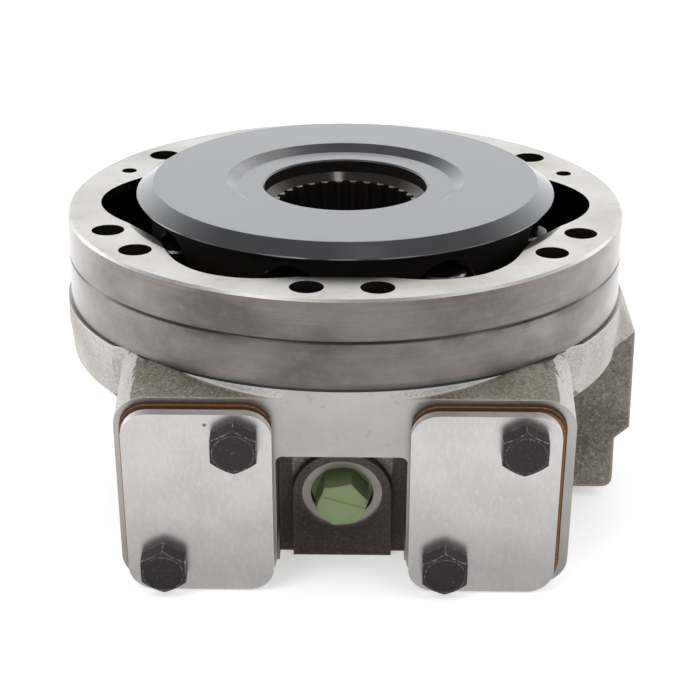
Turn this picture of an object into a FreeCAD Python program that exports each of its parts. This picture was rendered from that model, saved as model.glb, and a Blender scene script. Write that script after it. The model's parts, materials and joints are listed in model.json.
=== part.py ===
import FreeCAD, Part
import math
import os

# Hydraulic drive motor: a radial-piston motor with a lobed cam ring, open at the top where the
# bearing carrier bolts on. The origin is the centre of the cam ring's top face. +Z runs up the
# motor's axis, and the hydraulic ports face -Y. All sizes are millimetres.

# Cam ring, a stack of two ground rings
ring_diameter = 210.0
upper_ring_height = 15.6
lower_ring_height = 17.2
ring_edge_bevel = 0.6
ring_top_bevel = 0.9
lobe_count = 6
lobe_wall = 12.1
cam_half_stroke = 6.7
cam_points_per_lobe = 10
crest_bevel_width = 4.9
crest_bevel_depth = 1.3

# Holes round the cam ring, in pairs at the six crests
hole_edge_distance = 11.6
hole_pair_half_angle = 7.45
case_bolt_hole_diameter = 12.0
case_thread_diameter = 8.5
case_thread_depth = 16.0
locating_hole_diameter = 6.0
locating_hole_depth = 22.0
ring_pin_diameter = 8.0
ring_pin_length = 16.5
ring_pin_sink = 12.0
ring_pin_end_gap = 0.8

# Cylinder block
piston_count = 8
first_piston_angle = -15.0
block_crest_gap = 5.8
block_foot_depth = 3.2
block_foot_bevel = 1.2
disc_overhang = 5.3
disc_top = 9.2
disc_slope_width = 6.3
disc_edge_height = 5.1
disc_edge_thickness = 0.5
disc_root_height = 3.0
dish_radius = 45.0
dish_floor_radius = 40.6
dish_floor_height = 6.7
bore_mouth_radius = 30.8
bore_mouth_depth = 5.0
bore_edge_bevel = 0.6
spline_tooth_count = 30
spline_root_diameter = 55.0
spline_tooth_height = 1.75
spline_tip_share = 0.14
spline_root_share = 0.30
spline_lead_in = 2.6
cylinder_radius = 14.35
cylinder_floor_radius = 42.5
cylinder_mouth_bevel = 1.6
oil_port_radius = 4.0
oil_port_circle_radius = 49.0

# Pistons and rollers
piston_clearance = 0.06
piston_floor_gap = 1.0
piston_rim_above_roller = 1.2
piston_rim_bevel = 3.0
piston_skirt_bevel = 0.8
piston_hollow_radius = 8.0
piston_hollow_depth = 10.0
piston_ring_width = 2.4
piston_ring_depth = 1.6
piston_ring_setback = 4.0
ring_side_clearance = 0.03
roller_radius = 9.0
roller_length = 22.0
roller_bevel = 0.8
roller_crest_clearance = 0.8
roller_bush_wall = 1.2
roller_bush_clearance = 0.06

# Distributor, the stepped valve under the cylinder block
face_film = 0.1
distributor_top_radius = 60.0
distributor_middle_radius = 55.0
distributor_lower_radius = 50.0
distributor_bore_radius = 30.0
distributor_step_height = 16.0
distributor_fit = 0.1
gallery_height = 7.0
distributor_cross_drill_radius = 3.0
seal_width = 3.0
seal_depth = 2.4
seal_setback = 5.0
seal_land = 1.5
distributor_pin_radius = 2.5
distributor_pin_circle_radius = 37.0
distributor_pin_grip = 8.0
distributor_pin_sink = 6.0
spring_thickness = 1.5
spring_height = 4.2
spring_width = 8.0
spring_side_clearance = 1.0

# Port housing, a grey iron casting
flange_overhang = 1.1
flange_depth = 24.2
flange_straight = 8.5
flange_draft = 1.4
flange_root_round = 4.0
flange_relief_inset = 2.0
flange_relief_run_out = 8.0
flange_relief_setback_left = 0.8
flange_relief_margin_right = 3.0
rotor_pocket_clearance = 2.8
rotor_pocket_depth = 4.4
hub_radius = 63.0
hub_neck_depth = 24.0
hub_neck_inset = 7.0
base_depth = 117.0
cover_thickness = 8.0
end_bore_radius = 33.0
merge_depth = 1.0
face_seal_inset = 3.0
face_seal_width = 2.2
face_seal_depth = 1.6

# Port face, a machined plane that leans in towards the base
port_face_tilt = 10.0
port_face_inset = 3.3
port_centre_depth = 77.4
port_spacing = 100.0
pad_margin = 2.0
pad_inner_margin = 0.9
pad_outer_margin_left = 3.1
pad_outer_margin_right = 5.4
pad_depth = 32.0
pad_back_rise = 14.0
block_half_width = 64.0
block_back = 30.0
port_hole_radius = 11.0
port_hole_depth = 24.0
oil_passage_radius = 6.0
flange_bolt_spacing_across = 26.2
flange_bolt_spacing_along = 52.4
flange_bolt_radius = 5.0
flange_bolt_fit = 0.1
flange_bolt_hole_clearance = 0.5
flange_bolt_grip = 15.0
flange_bolt_hole_depth = 20.0
bolt_head_across_flats = 16.0
bolt_head_height = 6.4
bolt_head_bevel = 1.2
bolt_crown_setback = 0.8

# Shipping covers on the two ports
plate_width = 52.0
plate_height = 76.0
plate_corner_radius = 9.5
plate_thickness = 3.2
gasket_thickness = 4.0
gasket_margin = 0.6
gasket_inner_margin = 0.2
gasket_outer_margin_left = 0.9
gasket_outer_margin_right = 2.0

# Recess between the ports, with the case drain in its arched boss
recess_half_width = 23.1
recess_lip_height = 15.7
recess_corner_radius = 2.5
recess_depth = 24.0
boss_face_depth = 20.5
boss_half_width = 18.1
drain_height = -15.6
drain_spot_radius = 14.7
drain_spot_depth = 0.8
drain_hole_radius = 11.5
drain_hole_depth = 15.0
drain_passage_radius = 5.0
plug_fit = 0.05
plug_setback = 4.4
plug_length = 9.0
plug_hexagon_across_flats = 17.0
plug_hexagon_height = 11.4
plug_hexagon_turn = -20.0
plug_hexagon_bevel = 0.6

# Side lug of the casting
lug_overhang = 6.0
lug_step_width = 5.6
lug_root_inset = 21.0
lug_front = 17.0
lug_thickness = 44.0
lug_top_depth = 46.0
lug_step_depth = 86.0
lug_step_slope = 5.0
lug_bottom_depth = 112.0
lug_corner_radius = 4.0
lug_rib_thickness = 14.0

# End cover under the hub
cover_radius = 56.0
cover_sink = 0.5
cover_fit = 0.25
cover_spigot_clearance = 0.1
cover_spigot_height = 8.0
cover_edge_bevel = 1.5
cover_screw_count = 6
cover_screw_circle_radius = 48.0
cover_screw_radius = 3.4
cover_screw_head_radius = 6.6
cover_screw_length = 20.0
cover_socket_across_flats = 5.0
cover_socket_depth = 2.6
cover_seal_width = 2.4
cover_seal_depth = 1.8

ORIGIN = FreeCAD.Vector(0, 0, 0)
UP = FreeCAD.Vector(0, 0, 1)
FULL_TURN = 360.0

# Sizes that follow from the ones above
ring_radius = ring_diameter / 2
cam_mean_radius = ring_radius - lobe_wall - cam_half_stroke
crest_radius = cam_mean_radius - cam_half_stroke
crest_bevel_radius = crest_radius + crest_bevel_width
hole_circle_radius = ring_radius - hole_edge_distance
block_radius = crest_radius - block_crest_gap
disc_radius = block_radius + disc_overhang
disc_top_radius = disc_radius - disc_slope_width
ring_seam = -upper_ring_height
ring_bottom = -(upper_ring_height + lower_ring_height)
roller_level = ring_bottom / 2
roller_path_mean = cam_mean_radius - roller_radius
crest_path_radius = roller_path_mean - cam_half_stroke
roller_rest_radius = crest_path_radius - roller_crest_clearance
block_bottom = ring_bottom - block_foot_depth
piston_radius = cylinder_radius - piston_clearance
flange_top_radius = ring_radius + flange_overhang
flange_bottom = ring_bottom - flange_depth
flange_relief_radius = ring_radius - flange_relief_inset
hub_neck_radius = ring_radius - hub_neck_inset
face_seal_radius = ring_radius - face_seal_inset
port_face_reach = ring_radius - port_face_inset
lug_reach = ring_radius + lug_overhang
lug_step_reach = lug_reach - lug_step_width
lug_root = ring_radius - lug_root_inset
pocket_radius = block_radius + rotor_pocket_clearance
pocket_floor = block_bottom - rotor_pocket_depth
distributor_top = block_bottom - face_film
first_step = distributor_top - distributor_step_height
second_step = first_step - distributor_step_height
distributor_bottom = second_step - distributor_step_height
first_gallery_floor = first_step - gallery_height
second_gallery_floor = second_step - gallery_height
spring_seat = distributor_bottom - spring_height
spring_outer_radius = distributor_lower_radius - spring_side_clearance
hub_bottom = -base_depth
cover_bottom = hub_bottom + cover_sink
cover_top = cover_bottom + cover_thickness
cover_stack = plate_thickness + gasket_thickness
beyond = 2 * ring_diameter

# The port face's own frame: X across, Y up the slope, Z out of the face
tilt = math.radians(port_face_tilt)
face_across = FreeCAD.Vector(1, 0, 0)
face_up = FreeCAD.Vector(0, -math.sin(tilt), math.cos(tilt))
face_out = FreeCAD.Vector(0, -math.cos(tilt), -math.sin(tilt))
face_lean = (port_centre_depth + ring_bottom) * math.tan(tilt)
face_origin = FreeCAD.Vector(0, face_lean - port_face_reach, -port_centre_depth)
face_place = FreeCAD.Placement(face_origin, FreeCAD.Rotation(face_across, face_up, face_out, "ZXY"))
pad_half_height = plate_height / 2 + pad_margin
port_centres = {"left": -port_spacing / 2, "right": port_spacing / 2}
outward = {"left": -1, "right": 1}
pad_outer_margins = {"left": pad_outer_margin_left, "right": pad_outer_margin_right}
gasket_outer_margins = {"left": gasket_outer_margin_left, "right": gasket_outer_margin_right}


def polar(radius, degrees, height=0.0):
    angle = math.radians(degrees)
    return FreeCAD.Vector(radius * math.cos(angle), radius * math.sin(angle), height)


def turned(*corners):
    """A solid of revolution about the motor's axis from (radius, height) corners."""
    points = [FreeCAD.Vector(radius, 0, height) for radius, height in corners]
    outline = Part.makePolygon(points + points[:1])
    return Part.Face(outline).revolve(ORIGIN, UP, FULL_TURN)


def rod(radius, start, end):
    """A round bar between two points."""
    return Part.makeCylinder(radius, (end - start).Length, start, end - start)


def upright(radius, bottom, top, centre=ORIGIN):
    """A round bar along Z between two heights."""
    return Part.makeCylinder(radius, top - bottom, FreeCAD.Vector(centre.x, centre.y, bottom))


def flat_ring(outer, inner, bottom, top):
    return turned((inner, bottom), (outer, bottom), (outer, top), (inner, top))


def prism(points, direction):
    """A polygon swept straight along a direction."""
    return Part.Face(Part.makePolygon(points + points[:1])).extrude(direction)


def regular_polygon(sides, across_flats, height):
    reach = across_flats / 2 / math.cos(math.pi / sides)
    return [polar(reach, FULL_TURN * (side + 0.5) / sides, height) for side in range(sides)]


def rounded_block(width, height, thickness, radius):
    """A plate in the XY plane with round corners, centred, rising along Z."""
    corner = FreeCAD.Vector(-width / 2, -height / 2, 0)
    plate = Part.makeBox(width, height, thickness, corner)
    corners = [edge for edge in plate.Edges if abs(edge.tangentAt(edge.FirstParameter).z) > 0.5]
    return plate.makeFillet(radius, corners)


def on_port_face(shape, across=0.0, up=0.0, out=0.0):
    """Moves a shape drawn in the XY plane onto the port face."""
    shift = FreeCAD.Placement(FreeCAD.Vector(across, up, out), FreeCAD.Rotation())
    placed = shape.copy()
    placed.Placement = face_place.multiply(shift).multiply(placed.Placement)
    return placed


def face_point(across, up, out):
    return face_place.multVec(FreeCAD.Vector(across, up, out))


def wide_block(floor):
    """A block that stands on a height and takes off all that rises above it."""
    return Part.makeBox(beyond, beyond, beyond, FreeCAD.Vector(-beyond / 2, -beyond / 2, floor))


def cut_all(body, tools):
    return body.cut(Part.makeCompound(tools))


def joined(first, *others):
    return first.multiFuse(list(others)).removeSplitter()


# Cam ring

def crest_angles():
    return [FULL_TURN * (index + 0.5) / lobe_count for index in range(lobe_count)]


def hole_angles():
    """Angles of all holes of the ring, a pair at each crest."""
    return [crest + side * hole_pair_half_angle for crest in crest_angles() for side in (-1, 1)]


def is_locating(degrees):
    """The two small holes sit nearest the X axis on the +Y side."""
    nearest = crest_angles()[0] - hole_pair_half_angle
    mirrored = FULL_TURN / 2 - nearest
    return min(abs(degrees - nearest), abs(degrees - mirrored)) < hole_pair_half_angle


def case_bolt_angles():
    return [degrees for degrees in hole_angles() if not is_locating(degrees)]


def locating_angles():
    return [degrees for degrees in hole_angles() if is_locating(degrees)]


def cam_reach(degrees):
    """Radius of the roller centre's path, largest in the middle of a lobe."""
    return roller_path_mean + cam_half_stroke * math.cos(math.radians(lobe_count * degrees))


def cam_outline():
    """The rolling face: the roller centre's path pushed out by one roller radius."""
    points = []
    for index in range(lobe_count * cam_points_per_lobe):
        degrees = FULL_TURN * index / (lobe_count * cam_points_per_lobe)
        angle = math.radians(degrees)
        reach = cam_reach(degrees)
        slope = -lobe_count * cam_half_stroke * math.sin(lobe_count * angle)
        lean = math.degrees(math.atan2(slope, reach))
        points.append(polar(reach, degrees) + polar(roller_radius, degrees - lean))
    curve = Part.BSplineCurve()
    curve.interpolate(Points=points, PeriodicFlag=True)
    return Part.Face(Part.Wire(curve.toShape()))


def cam_window(bottom, top):
    face = cam_outline()
    face.translate(FreeCAD.Vector(0, 0, bottom))
    return face.extrude(UP * (top - bottom))


def ring_holes(bottom, top):
    """The case bolts' holes go right through, and the locating holes end in the lower ring."""
    bolts = [upright(case_bolt_hole_diameter / 2, bottom, top, polar(hole_circle_radius, degrees))
             for degrees in case_bolt_angles()]
    locating_bottom = max(bottom, -locating_hole_depth)
    locating = [upright(locating_hole_diameter / 2, locating_bottom, top, polar(hole_circle_radius, degrees))
                for degrees in locating_angles()]
    return bolts + locating


def ring_pin_holes():
    """Blind holes in the lower ring's underside, over those in the flange."""
    top = ring_bottom - ring_pin_sink + ring_pin_length + ring_pin_end_gap
    return [upright(ring_pin_diameter / 2, ring_bottom, top, polar(hole_circle_radius, degrees))
            for degrees in locating_angles()]


def cam_ring_upper():
    disc = turned((0, ring_seam), (ring_radius - ring_edge_bevel, ring_seam),
                  (ring_radius, ring_seam + ring_edge_bevel), (ring_radius, -ring_top_bevel),
                  (ring_radius - ring_top_bevel, 0), (0, 0))
    bevel = turned((0, -crest_bevel_depth), (crest_radius, -crest_bevel_depth),
                   (crest_bevel_radius, 0), (0, 0))
    return cut_all(disc, [cam_window(ring_seam, 0), bevel] + ring_holes(ring_seam, 0))


def cam_ring_lower():
    disc = turned((0, ring_bottom), (ring_radius - ring_edge_bevel, ring_bottom),
                  (ring_radius, ring_bottom + ring_edge_bevel), (ring_radius, ring_seam - ring_edge_bevel),
                  (ring_radius - ring_edge_bevel, ring_seam), (0, ring_seam))
    groove = face_seal_groove(ring_seam)
    holes = ring_holes(ring_bottom, ring_seam) + ring_pin_holes()
    return cut_all(disc, [cam_window(ring_bottom, ring_seam), groove] + holes)


def face_seal_groove(level):
    """Also the shape of the seal that fills the groove."""
    half = face_seal_width / 2
    return flat_ring(face_seal_radius + half, face_seal_radius - half, level - face_seal_depth, level)


def locating_pins():
    pin_bottom = ring_bottom - ring_pin_sink
    pins = [upright(ring_pin_diameter / 2, pin_bottom, pin_bottom + ring_pin_length,
                    polar(hole_circle_radius, degrees)) for degrees in locating_angles()]
    return Part.makeCompound(pins)


# Cylinder block

def piston_angles():
    return [first_piston_angle + FULL_TURN * index / piston_count for index in range(piston_count)]


def spline_outline():
    """Internal spline: straight-flanked teeth that narrow towards the bore's middle."""
    root = spline_root_diameter / 2
    tip = root - spline_tooth_height
    pitch = FULL_TURN / spline_tooth_count
    tip_half = pitch * spline_tip_share
    root_half = pitch * spline_root_share
    points = []
    for tooth in range(spline_tooth_count):
        middle = tooth * pitch
        points.append(polar(root, middle - root_half))
        points.append(polar(tip, middle - tip_half))
        points.append(polar(tip, middle + tip_half))
        points.append(polar(root, middle + root_half))
    return points, tip, root


def rotor_blank():
    """The turned shape of the cylinder block, with a thin disc that overhangs its top."""
    mouth_floor = dish_floor_height - bore_mouth_depth
    lead_in_floor = mouth_floor - spline_lead_in
    return turned((0, block_bottom), (block_radius - block_foot_bevel, block_bottom),
                  (block_radius, block_bottom + block_foot_bevel), (block_radius, disc_root_height),
                  (disc_radius, disc_edge_height - disc_edge_thickness), (disc_radius, disc_edge_height),
                  (disc_top_radius, disc_top), (dish_radius, disc_top),
                  (dish_floor_radius, dish_floor_height),
                  (bore_mouth_radius + bore_edge_bevel, dish_floor_height),
                  (bore_mouth_radius, dish_floor_height - bore_edge_bevel), (bore_mouth_radius, mouth_floor),
                  (spline_root_diameter / 2, lead_in_floor), (0, lead_in_floor))


def cylinder_tools(degrees):
    """One piston bore with its flared mouth and the oil port under it."""
    floor = polar(cylinder_floor_radius, degrees, roller_level)
    flare_start = polar(block_radius - cylinder_mouth_bevel, degrees, roller_level)
    flare = Part.makeCone(cylinder_radius, cylinder_radius + cylinder_mouth_bevel, cylinder_mouth_bevel,
                          flare_start, polar(disc_radius, degrees))
    port = upright(oil_port_radius, block_bottom, roller_level, polar(oil_port_circle_radius, degrees))
    return [rod(cylinder_radius, floor, polar(disc_radius, degrees, roller_level)), flare, port]


def cylinder_block():
    points, tip, root = spline_outline()
    raised = [point + UP * block_bottom for point in points]
    spline = prism(raised, UP * (disc_top - block_bottom))
    foot_bevel = turned((0, block_bottom), (root, block_bottom), (tip, block_bottom + root - tip),
                        (0, block_bottom + root - tip))
    tools = [spline, foot_bevel]
    for degrees in piston_angles():
        tools += cylinder_tools(degrees)
    return cut_all(rotor_blank(), tools)


# Pistons, drawn with the bore along X and turned to their place

def piston_floor():
    return cylinder_floor_radius + piston_floor_gap


def piston_rim():
    return roller_rest_radius + piston_rim_above_roller


def along_x(radius, start, end):
    return Part.makeCylinder(radius, end - start, FreeCAD.Vector(start, 0, 0), FreeCAD.Vector(1, 0, 0))


def crosswise(radius, length):
    """A bar along Z through the roller's centre."""
    return upright(radius, -length / 2, length / 2, FreeCAD.Vector(roller_rest_radius, 0, 0))


def bevelled_bar(radius, start, end, start_bevel, end_bevel):
    corners = [(start, 0), (start, radius - start_bevel), (start + start_bevel, radius),
               (end - end_bevel, radius), (end, radius - end_bevel), (end, 0)]
    points = [FreeCAD.Vector(along, out, 0) for along, out in corners]
    outline = Part.Face(Part.makePolygon(points + points[:1]))
    return outline.revolve(ORIGIN, FreeCAD.Vector(1, 0, 0), FULL_TURN)


def piston_outline():
    return bevelled_bar(piston_radius, piston_floor(), piston_rim(), piston_skirt_bevel, piston_rim_bevel)


def piston_blank():
    hollow = along_x(piston_hollow_radius, piston_floor(), piston_floor() + piston_hollow_depth)
    start = piston_floor() + piston_ring_setback
    end = start + piston_ring_width
    groove_core = along_x(piston_radius - piston_ring_depth, start, end)
    groove = along_x(2 * piston_radius, start, end).cut(groove_core)
    cradle = crosswise(roller_radius + roller_bush_clearance + roller_bush_wall, 3 * piston_radius)
    return cut_all(piston_outline(), [hollow, groove, cradle])


def piston_ring_blank():
    start = piston_floor() + piston_ring_setback + ring_side_clearance
    end = start + piston_ring_width - 2 * ring_side_clearance
    outer = cylinder_radius - piston_clearance / 2
    return along_x(outer, start, end).cut(along_x(piston_radius - piston_ring_depth, start, end))


def roller_bush_blank():
    """Half a shell under the roller, with its corners trimmed to the piston's outline."""
    inner = roller_radius + roller_bush_clearance
    shell = crosswise(inner + roller_bush_wall, roller_length).cut(crosswise(inner, roller_length))
    corner = FreeCAD.Vector(roller_rest_radius - 2 * inner, -2 * inner, -roller_length)
    half = shell.common(Part.makeBox(2 * inner, 4 * inner, 2 * roller_length, corner))
    return half.common(piston_outline())


def roller_blank():
    half = roller_length / 2
    roller = turned((0, -half), (roller_radius - roller_bevel, -half), (roller_radius, -half + roller_bevel),
                    (roller_radius, half - roller_bevel), (roller_radius - roller_bevel, half), (0, half))
    roller.translate(FreeCAD.Vector(roller_rest_radius, 0, 0))
    return roller


def in_cylinder(blank, degrees):
    placed = blank.copy()
    turn = FreeCAD.Placement(FreeCAD.Vector(0, 0, roller_level), FreeCAD.Rotation(UP, degrees))
    placed.Placement = turn.multiply(placed.Placement)
    return placed


# Distributor

def distributor():
    body = turned((distributor_bore_radius, distributor_bottom),
                  (distributor_lower_radius, distributor_bottom), (distributor_lower_radius, second_step),
                  (distributor_middle_radius, second_step), (distributor_middle_radius, first_step),
                  (distributor_top_radius, first_step), (distributor_top_radius, distributor_top),
                  (distributor_bore_radius, distributor_top))
    tools = [distributor_seal(outer, top) for outer, top in distributor_seal_seats()]
    port_count = 2 * lobe_count
    for index in range(port_count):
        degrees = FULL_TURN * (index + 0.5) / port_count
        feeds_first = index % 2 == 0
        gallery_middle = (first_step if feeds_first else second_step) - gallery_height / 2
        centre = polar(oil_port_circle_radius, degrees)
        tools.append(upright(oil_port_radius, gallery_middle, distributor_top, centre))
        if feeds_first:
            start = polar(oil_port_circle_radius, degrees, gallery_middle)
            end = polar(distributor_top_radius, degrees, gallery_middle)
            tools.append(rod(distributor_cross_drill_radius, start, end))
    tools.append(distributor_pin())
    return cut_all(body, tools)


def distributor_seal_seats():
    """Outer radius of each step and the top of its seal."""
    return [(distributor_top_radius, distributor_top - seal_setback),
            (distributor_middle_radius, first_gallery_floor - seal_land),
            (distributor_lower_radius, second_gallery_floor - seal_land)]


def distributor_seal(outer, top):
    return flat_ring(outer + distributor_fit, outer - seal_depth, top - seal_width, top)


def distributor_pin():
    """Keeps the distributor from turning: it stands in the housing, inside the disc spring."""
    centre = polar(distributor_pin_circle_radius, FULL_TURN / 4)
    return upright(distributor_pin_radius, spring_seat - distributor_pin_sink,
                   distributor_bottom + distributor_pin_grip, centre)


def distributor_spring():
    """A disc spring between the distributor's foot and the housing."""
    inner = spring_outer_radius - spring_width
    return turned((inner, distributor_bottom - spring_thickness), (inner, distributor_bottom),
                  (spring_outer_radius, spring_seat + spring_thickness), (spring_outer_radius, spring_seat))


# Port housing

def face_prism(shape_outline, depth):
    """Sweeps an outline on the port face back into the casting, rising as it goes."""
    rise = math.radians(pad_back_rise)
    return shape_outline.extrude(FreeCAD.Vector(0, depth * math.cos(rise), depth * math.sin(rise)))


def pad_outline(side):
    """A pad's front, which reaches further past the cover on its outer side."""
    inner, outer = pad_inner_margin, pad_outer_margins[side]
    across = port_centres[side] + outward[side] * (outer - inner) / 2
    width = plate_width + inner + outer
    pad = rounded_block(width, 2 * pad_half_height, pad_depth, plate_corner_radius + pad_margin)
    middle = face_point(across, 0, 0)
    return min(on_port_face(pad, across).Faces, key=lambda face: (face.CenterOfMass - middle).Length)


def bridge_outline():
    """Joins the pads above the recess, level with their tops."""
    half, foot = port_spacing / 2, recess_lip_height - pad_margin
    corners = [(-half, foot), (half, foot), (half, pad_half_height), (-half, pad_half_height)]
    points = [face_point(across, up, 0) for across, up in corners]
    return Part.Face(Part.makePolygon(points + points[:1]))


def port_block():
    """The two pads, the bridge that joins them and the heavier block behind."""
    pads = [face_prism(pad_outline(side), pad_depth) for side in port_centres]
    bridge = face_prism(bridge_outline(), pad_depth)
    front = face_lean - port_face_reach + recess_depth
    corner = FreeCAD.Vector(-block_half_width, front, hub_bottom)
    height = flange_bottom + merge_depth - hub_bottom
    return pads + [bridge, Part.makeBox(2 * block_half_width, -block_back - front, height, corner)]


def side_lug():
    """A flat-sided lug on the right, with a rib back to the hub."""
    shoulder = ring_bottom - merge_depth
    corners = [(lug_root, -lug_bottom_depth), (lug_step_reach, -lug_bottom_depth),
               (lug_step_reach, -lug_step_depth - lug_step_slope), (lug_reach, -lug_step_depth),
               (lug_reach, -lug_top_depth), (flange_top_radius - merge_depth, shoulder),
               (lug_root, shoulder)]
    points = [FreeCAD.Vector(reach, -lug_front, height) for reach, height in corners]
    lug = prism(points, FreeCAD.Vector(0, lug_thickness, 0))
    middle = lug_thickness / 2 - lug_front
    foot = FreeCAD.Vector(lug_step_reach, middle, -lug_bottom_depth)
    rounded = [edge for edge in lug.Edges if (edge.CenterOfMass - foot).Length < merge_depth]
    lug = lug.makeFillet(lug_corner_radius, rounded)
    corner = FreeCAD.Vector(hub_radius - merge_depth, middle - lug_rib_thickness / 2, -lug_step_depth)
    length, height = lug_root + 2 * merge_depth - hub_radius, lug_step_depth + flange_bottom + merge_depth
    return [lug, Part.makeBox(length, lug_rib_thickness, height, corner)]


def housing_shell():
    shoulder = ring_bottom - flange_straight
    foot_radius = flange_top_radius - flange_draft
    return turned((0, ring_bottom), (flange_top_radius, ring_bottom), (flange_top_radius, shoulder),
                  (foot_radius, flange_bottom + flange_root_round),
                  (foot_radius - flange_root_round, flange_bottom), (hub_neck_radius, flange_bottom),
                  (hub_radius, flange_bottom - hub_neck_depth), (hub_radius, hub_bottom), (0, hub_bottom))


def run_out(across):
    """Where the relief of the flange starts, and a point outside on its sloping end."""
    heading = math.degrees(math.asin(across / flange_relief_radius))
    slope = math.copysign(math.degrees(flange_relief_run_out / flange_top_radius), across)
    start = polar(flange_relief_radius, heading - FULL_TURN / 4, flange_bottom)
    rim = polar(flange_top_radius, heading + slope - FULL_TURN / 4, flange_bottom)
    return start, start + (rim - start) * 3


def flange_relief():
    """Sets the flange back under the ring across the width of the port block."""
    half_width = (port_spacing + plate_width) / 2
    left_start, left_end = run_out(flange_relief_setback_left - half_width)
    right_start, right_end = run_out(flange_relief_margin_right + half_width)
    front = [FreeCAD.Vector(side * beyond, -beyond, flange_bottom) for side in (1, -1)]
    zone = prism([left_end, left_start, right_start, right_end] + front, UP * flange_depth)
    return zone.cut(upright(flange_relief_radius, flange_bottom, ring_bottom))


def housing_cavity():
    """The rotor's pocket, the stepped bore for the distributor and the seat of the end cover."""
    top = distributor_top_radius + distributor_fit
    middle = distributor_middle_radius + distributor_fit
    lower = distributor_lower_radius + distributor_fit
    seat = cover_radius + cover_fit
    return turned((0, ring_bottom), (pocket_radius, ring_bottom), (pocket_radius, pocket_floor),
                  (top, pocket_floor), (top, first_gallery_floor), (middle, first_gallery_floor),
                  (middle, second_gallery_floor), (lower, second_gallery_floor), (lower, spring_seat),
                  (end_bore_radius, spring_seat), (end_bore_radius, cover_top), (seat, cover_top),
                  (seat, hub_bottom), (0, hub_bottom))


def recess():
    top, bottom = recess_lip_height, -plate_height
    height = top - bottom
    opening = rounded_block(2 * recess_half_width, height, 2 * recess_depth, recess_corner_radius)
    return on_port_face(opening, 0, top - height / 2, -recess_depth)


def drain_boss():
    """The arch that carries the drain port, flat in front and down to the foot of the casting."""
    arch = Part.makeCylinder(boss_half_width, recess_depth)
    foot = drain_height + plate_height
    legs = Part.makeBox(2 * boss_half_width, foot, recess_depth, FreeCAD.Vector(-boss_half_width, -foot, 0))
    return on_port_face(arch.fuse(legs), 0, drain_height, -boss_face_depth - recess_depth)


def flange_bolt_places(across):
    half_across, half_along = flange_bolt_spacing_across / 2, flange_bolt_spacing_along / 2
    return [(across + side * half_across, end * half_along) for side in (-1, 1) for end in (-1, 1)]


def port_drillings():
    """The port bores, their passages to the two galleries and the tapped holes."""
    tools = []
    for side, across in port_centres.items():
        bore = Part.makeCylinder(port_hole_radius, port_hole_depth)
        tools.append(on_port_face(bore, across, 0, -port_hole_depth))
        gallery_roof = first_step if side == "left" else second_step
        gallery_radius = distributor_middle_radius if side == "left" else distributor_lower_radius
        start = face_point(across, 0, oil_passage_radius - port_hole_depth)
        heading = math.degrees(math.atan2(start.y, start.x))
        end = polar(gallery_radius, heading, gallery_roof - gallery_height / 2)
        tools.append(rod(oil_passage_radius, start, end))
        for bolt_across, bolt_up in flange_bolt_places(across):
            hole = Part.makeCylinder(flange_bolt_radius, flange_bolt_hole_depth)
            tools.append(on_port_face(hole, bolt_across, bolt_up, -flange_bolt_hole_depth))
    return tools


def drain_drillings():
    """The drain port with its spot face, and the passage to the space under the distributor."""
    spot = Part.makeCylinder(drain_spot_radius, drain_spot_depth + recess_depth)
    hole = Part.makeCylinder(drain_hole_radius, drain_hole_depth)
    hole_floor = -boss_face_depth - drain_hole_depth
    start = face_point(0, drain_height, hole_floor + merge_depth)
    end = FreeCAD.Vector(0, -spring_outer_radius, (second_gallery_floor + spring_seat) / 2)
    return [on_port_face(spot, 0, drain_height, -boss_face_depth - drain_spot_depth),
            on_port_face(hole, 0, drain_height, hole_floor), rod(drain_passage_radius, start, end)]


def tapped_holes():
    """Blind holes in the flange for the case bolts and the locating pins."""
    bolts = [upright(case_thread_diameter / 2, ring_bottom - case_thread_depth, ring_bottom,
                     polar(hole_circle_radius, degrees)) for degrees in case_bolt_angles()]
    pins = [upright(ring_pin_diameter / 2, ring_bottom - ring_pin_sink, ring_bottom,
                    polar(hole_circle_radius, degrees)) for degrees in locating_angles()]
    return bolts + pins


def port_housing():
    shell = joined(housing_shell().cut(flange_relief()), *port_block(), *side_lug())
    in_front = on_port_face(wide_block(0))
    shell = cut_all(shell, [wide_block(ring_bottom), in_front, recess()]).fuse(drain_boss())
    screws = [cover_screw(degrees) for degrees in cover_screw_angles()]
    below = wide_block(hub_bottom - beyond)
    tools = [below, housing_cavity(), face_seal_groove(ring_bottom), distributor_pin()] + screws
    return cut_all(shell, tools + tapped_holes() + port_drillings() + drain_drillings())


# Shipping covers

def gasket(side):
    """The sheet under a cover, which shows past the cover on its outer side and at its top."""
    across = port_centres[side]
    inner, outer = gasket_inner_margin, gasket_outer_margins[side]
    width, height = plate_width + inner + outer, plate_height + 2 * gasket_margin
    sheet = rounded_block(width, height, gasket_thickness, plate_corner_radius + gasket_margin)
    placed = on_port_face(sheet, across + outward[side] * (outer - inner) / 2)
    openings = [on_port_face(Part.makeCylinder(port_hole_radius, gasket_thickness), across)]
    for bolt_across, bolt_up in used_bolt_places(across):
        hole = Part.makeCylinder(flange_bolt_radius, gasket_thickness)
        openings.append(on_port_face(hole, bolt_across, bolt_up))
    return cut_all(placed, openings)


def used_bolt_places(across):
    """Each cover is held by two bolts, at the upper right and the lower left."""
    places = flange_bolt_places(across)
    return [places[0], places[3]]


def cover_plate(across):
    blank = rounded_block(plate_width, plate_height, plate_thickness, plate_corner_radius)
    plate = on_port_face(blank, across, 0, gasket_thickness)
    radius = flange_bolt_radius + flange_bolt_hole_clearance
    holes = [on_port_face(Part.makeCylinder(radius, plate_thickness), bolt_across, bolt_up, gasket_thickness)
             for bolt_across, bolt_up in used_bolt_places(across)]
    return cut_all(plate, holes)


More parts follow.
